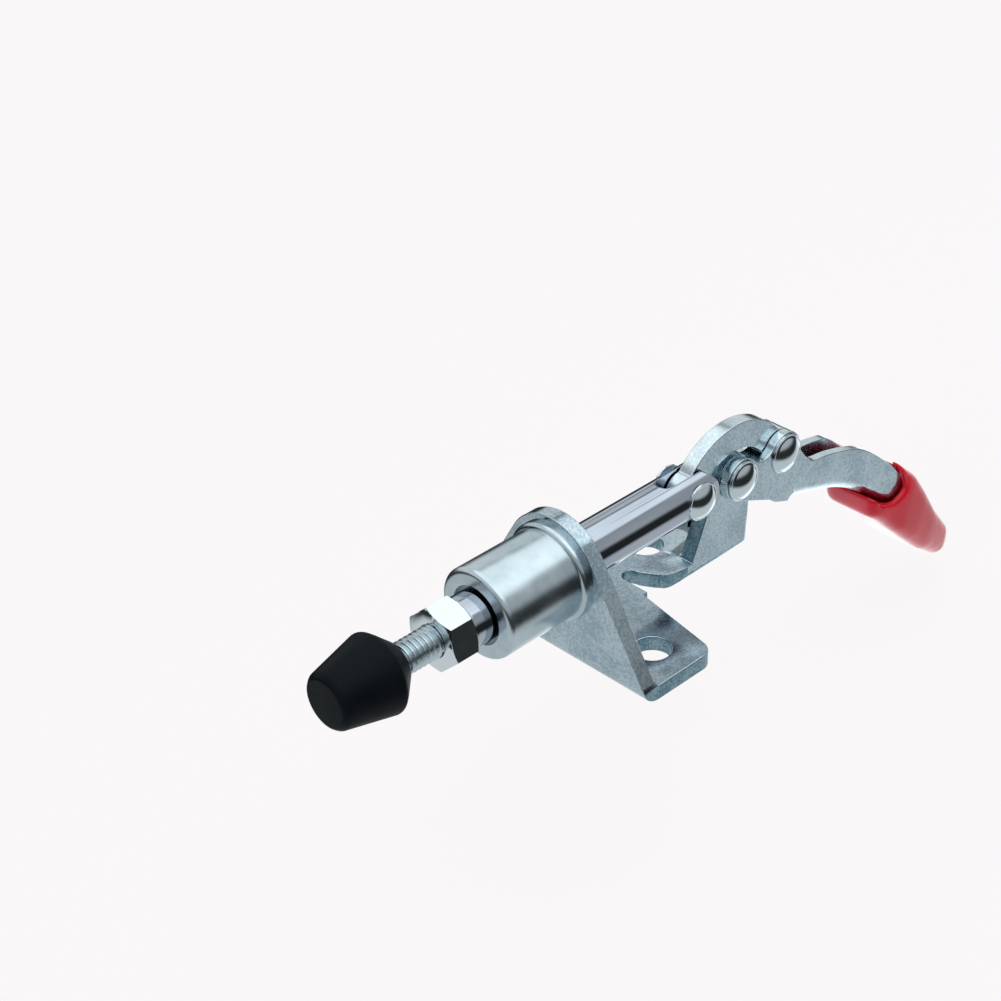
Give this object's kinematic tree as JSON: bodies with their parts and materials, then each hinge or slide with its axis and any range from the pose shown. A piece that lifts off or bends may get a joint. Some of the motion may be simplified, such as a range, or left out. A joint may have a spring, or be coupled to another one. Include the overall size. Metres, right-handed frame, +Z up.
{
  "type": "push-pull toggle clamp",
  "caption": "Small push-pull toggle clamp with a flanged sheet foot, a guided plunger, a rubber-tipped spindle and a red dipped handle.",
  "frame": {"origin": "halfway between the two wing holes, on the underside of the foot", "axes": "+X along the plunger towards the rubber tip, +Y towards the side the tongue's plain face looks at, +Z up from the mounting face"},
  "size_m": [0.11, 0.0286, 0.0415],
  "materials": {
    "zinc_sheet": "zinc-plated stamped sheet, bright with a faint blue tint",
    "zinc_turned": "zinc-plated turned steel, satin",
    "plunger_steel": "polished plated rod",
    "rivet_steel": "bright plated domed rivets",
    "thread_steel": "bright thread",
    "nut_steel": "bright plated nut",
    "black_rubber": "matt black rubber",
    "red_vinyl": "glossy dipped vinyl"
  },
  "bodies": {
    "base": {"base_bracket": "zinc_sheet", "guide_collar": "zinc_turned", "pivot_rivet": "rivet_steel"},
    "handle": {"handle_lever": "zinc_sheet", "grip": "red_vinyl", "crank_rivet": "rivet_steel"},
    "link": {"toggle_link": "zinc_sheet"},
    "plunger": {"plunger": "plunger_steel", "plunger_rivet": "rivet_steel"},
    "spindle": {"spindle": "thread_steel", "rubber_tip": "black_rubber"},
    "jam_nut": {"jam_nut": "nut_steel"}
  },
  "joints": [
    {"name": "handle_swing", "type": "hinge", "parent": "base", "child": "handle", "pos_m": [-0.0232, 0, 0.0112], "axis": [0, 1, 0], "range_deg": [0, 183]},
    {"name": "link_pivot", "type": "hinge", "parent": "handle", "child": "link", "pos_m": [-0.0312, 0, 0.01141], "axis": [0, 1, 0], "range_deg": [-187, 0]},
    {"name": "plunger_slide", "type": "slide", "parent": "base", "child": "plunger", "axis": [1, 0, 0], "range_m": [0, 0.01601]},
    {"name": "spindle_adjust", "type": "slide", "parent": "plunger", "child": "spindle", "axis": [1, 0, 0], "range_m": [0, 0.006]},
    {"name": "nut_adjust", "type": "slide", "parent": "plunger", "child": "jam_nut", "axis": [1, 0, 0], "range_m": [0, 0.0015]}
  ],
  "couplings": [
    {"joint": "link_pivot", "follows": "handle_swing", "ratio": -1.0165},
    {"joint": "plunger_slide", "follows": "handle_swing", "m_per_rad": 0.0049809}
  ]
}
